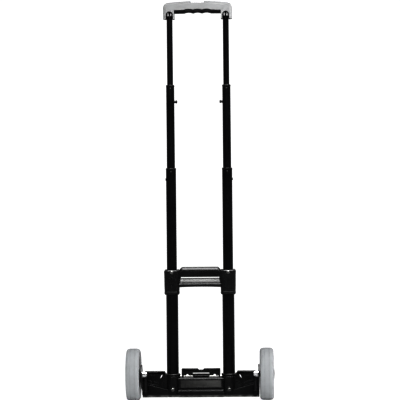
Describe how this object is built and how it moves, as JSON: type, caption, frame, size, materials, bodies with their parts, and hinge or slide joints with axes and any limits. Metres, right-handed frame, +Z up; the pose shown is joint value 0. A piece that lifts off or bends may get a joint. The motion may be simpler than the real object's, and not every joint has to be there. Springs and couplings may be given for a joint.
{
  "type": "folding hand trolley with telescoping handle",
  "caption": "Folding trolley: telescoping two-tube handle with push-button grip, carry bracket, moulded base, hinged toe plate and wheels that swing in when it folds.",
  "frame": {"origin": "on the floor, midway between the wheels, in the plane of the two tube stacks", "axes": "+X to the right seen from behind, +Y towards the toe plate, +Z up along the tubes"},
  "size_m": [0.3632, 0.4005, 0.9838],
  "materials": {
    "black_plastic": "moulded black with a slight sheen",
    "black_tube": "satin black coat on steel tube",
    "black_steel": "black coat on pressed steel plate",
    "chrome": "bright plated",
    "steel": "zinc plated",
    "grip_grey": "light grey moulded, fine grain",
    "button_pale": "near white, smooth",
    "soft_black": "soft touch black",
    "tyre_grey": "smooth light grey non-marking tread",
    "cap_grey": "dark grey moulded"
  },
  "bodies": {
    "frame": {"base_housing": "black_plastic", "carry_bracket": "black_plastic", "carry_rod": "chrome", "toe_hinge_pin": "steel", "latch_pin": "steel", "lower_tube_left": "black_tube", "lower_tube_right": "black_tube", "socket_screw_left": "steel", "socket_screw_right": "steel", "bracket_screw_left": "chrome", "bracket_screw_right": "chrome", "swing_pin_left": "steel", "swing_pin_right": "steel"},
    "middle_section_left": {"middle_tube_left": "black_tube", "middle_collar_left": "black_plastic", "middle_foot_left": "black_plastic", "stop_rivet_left": "black_plastic"},
    "middle_section_right": {"middle_tube_right": "black_tube", "middle_collar_right": "black_plastic", "middle_foot_right": "black_plastic", "stop_rivet_right": "black_plastic"},
    "upper_section_left": {"upper_tube_left": "black_tube", "upper_collar_left": "black_plastic", "upper_foot_left": "black_plastic", "cord_peg_left": "black_plastic"},
    "upper_section_right": {"upper_tube_right": "black_tube", "upper_collar_right": "black_plastic", "upper_foot_right": "black_plastic", "cord_peg_right": "black_plastic"},
    "handle": {"grip_body": "grip_grey", "finger_insert": "soft_black", "button_spring": "steel", "grip_ferrule_left": "black_plastic", "grip_ferrule_right": "black_plastic", "top_tube_left": "black_tube", "top_tube_right": "black_tube", "top_foot_left": "black_plastic", "top_foot_right": "black_plastic"},
    "release": {"release_button": "button_pale", "release_yoke": "black_plastic", "push_rod_left": "steel", "push_rod_right": "steel"},
    "toe": {"toe_plate": "black_plastic", "toe_foot_left": "soft_black", "toe_foot_right": "soft_black"},
    "latch_flap": {"latch": "black_plastic"},
    "swing_left": {"wheel_bracket_left": "black_steel", "axle_bolt_left": "steel", "axle_nut_left": "chrome", "axle_spacer_left": "black_plastic"},
    "swing_right": {"wheel_bracket_right": "black_steel", "axle_bolt_right": "steel", "axle_nut_right": "chrome", "axle_spacer_right": "black_plastic"},
    "wheel_left": {"tyre_left": "tyre_grey", "wheel_hub_left": "grip_grey", "hub_cap_left": "cap_grey"},
    "wheel_right": {"tyre_right": "tyre_grey", "wheel_hub_right": "grip_grey", "hub_cap_right": "cap_grey"}
  },
  "joints": [
    {"name": "middle_slide_left", "type": "slide", "parent": "frame", "child": "middle_section_left", "axis": [0, 0, -1], "range_m": [0, 0.22]},
    {"name": "middle_slide_right", "type": "slide", "parent": "frame", "child": "middle_section_right", "axis": [0, 0, -1], "range_m": [0, 0.22]},
    {"name": "upper_slide_left", "type": "slide", "parent": "middle_section_left", "child": "upper_section_left", "axis": [0, 0, -1], "range_m": [0, 0.16]},
    {"name": "upper_slide_right", "type": "slide", "parent": "middle_section_right", "child": "upper_section_right", "axis": [0, 0, -1], "range_m": [0, 0.16]},
    {"name": "handle_slide", "type": "slide", "parent": "upper_section_left", "child": "handle", "axis": [0, 0, -1], "range_m": [0, 0.16]},
    {"name": "button_press", "type": "slide", "parent": "handle", "child": "release", "axis": [0, 0, -1], "range_m": [0, 0.003], "stiffness_N_per_m": 300, "springref_m": -0.004, "deforming": ["button_spring"]},
    {"name": "toe_fold", "type": "hinge", "parent": "frame", "child": "toe", "pos_m": [0, 0.028, 0.008], "axis": [1, 0, 0], "range_deg": [0, 90]},
    {"name": "swing_left", "type": "hinge", "parent": "frame", "child": "swing_left", "pos_m": [-0.138, -0.032, 0.033], "axis": [0, 0, 1], "range_deg": [0, 90]},
    {"name": "swing_right", "type": "hinge", "parent": "frame", "child": "swing_right", "pos_m": [0.138, -0.032, 0.033], "axis": [0, 0, 1], "range_deg": [-90, 0]},
    {"name": "latch_tilt", "type": "hinge", "parent": "frame", "child": "latch_flap", "pos_m": [0, 0.006, 0.0502], "axis": [1, 0, 0], "range_deg": [0, 25]},
    {"name": "wheel_spin_left", "type": "hinge", "parent": "swing_left", "child": "wheel_left", "pos_m": [-0.1627, -0.079, 0.0635], "axis": [1, 0, 0], "continuous": true},
    {"name": "wheel_spin_right", "type": "hinge", "parent": "swing_right", "child": "wheel_right", "pos_m": [0.1627, -0.079, 0.0635], "axis": [1, 0, 0], "continuous": true}
  ],
  "couplings": [
    {"joint": "middle_slide_right", "follows": "middle_slide_left", "ratio": 1},
    {"joint": "upper_slide_right", "follows": "upper_slide_left", "ratio": 1},
    {"joint": "swing_left", "follows": "toe_fold", "ratio": 1},
    {"joint": "swing_right", "follows": "toe_fold", "ratio": -1}
  ]
}
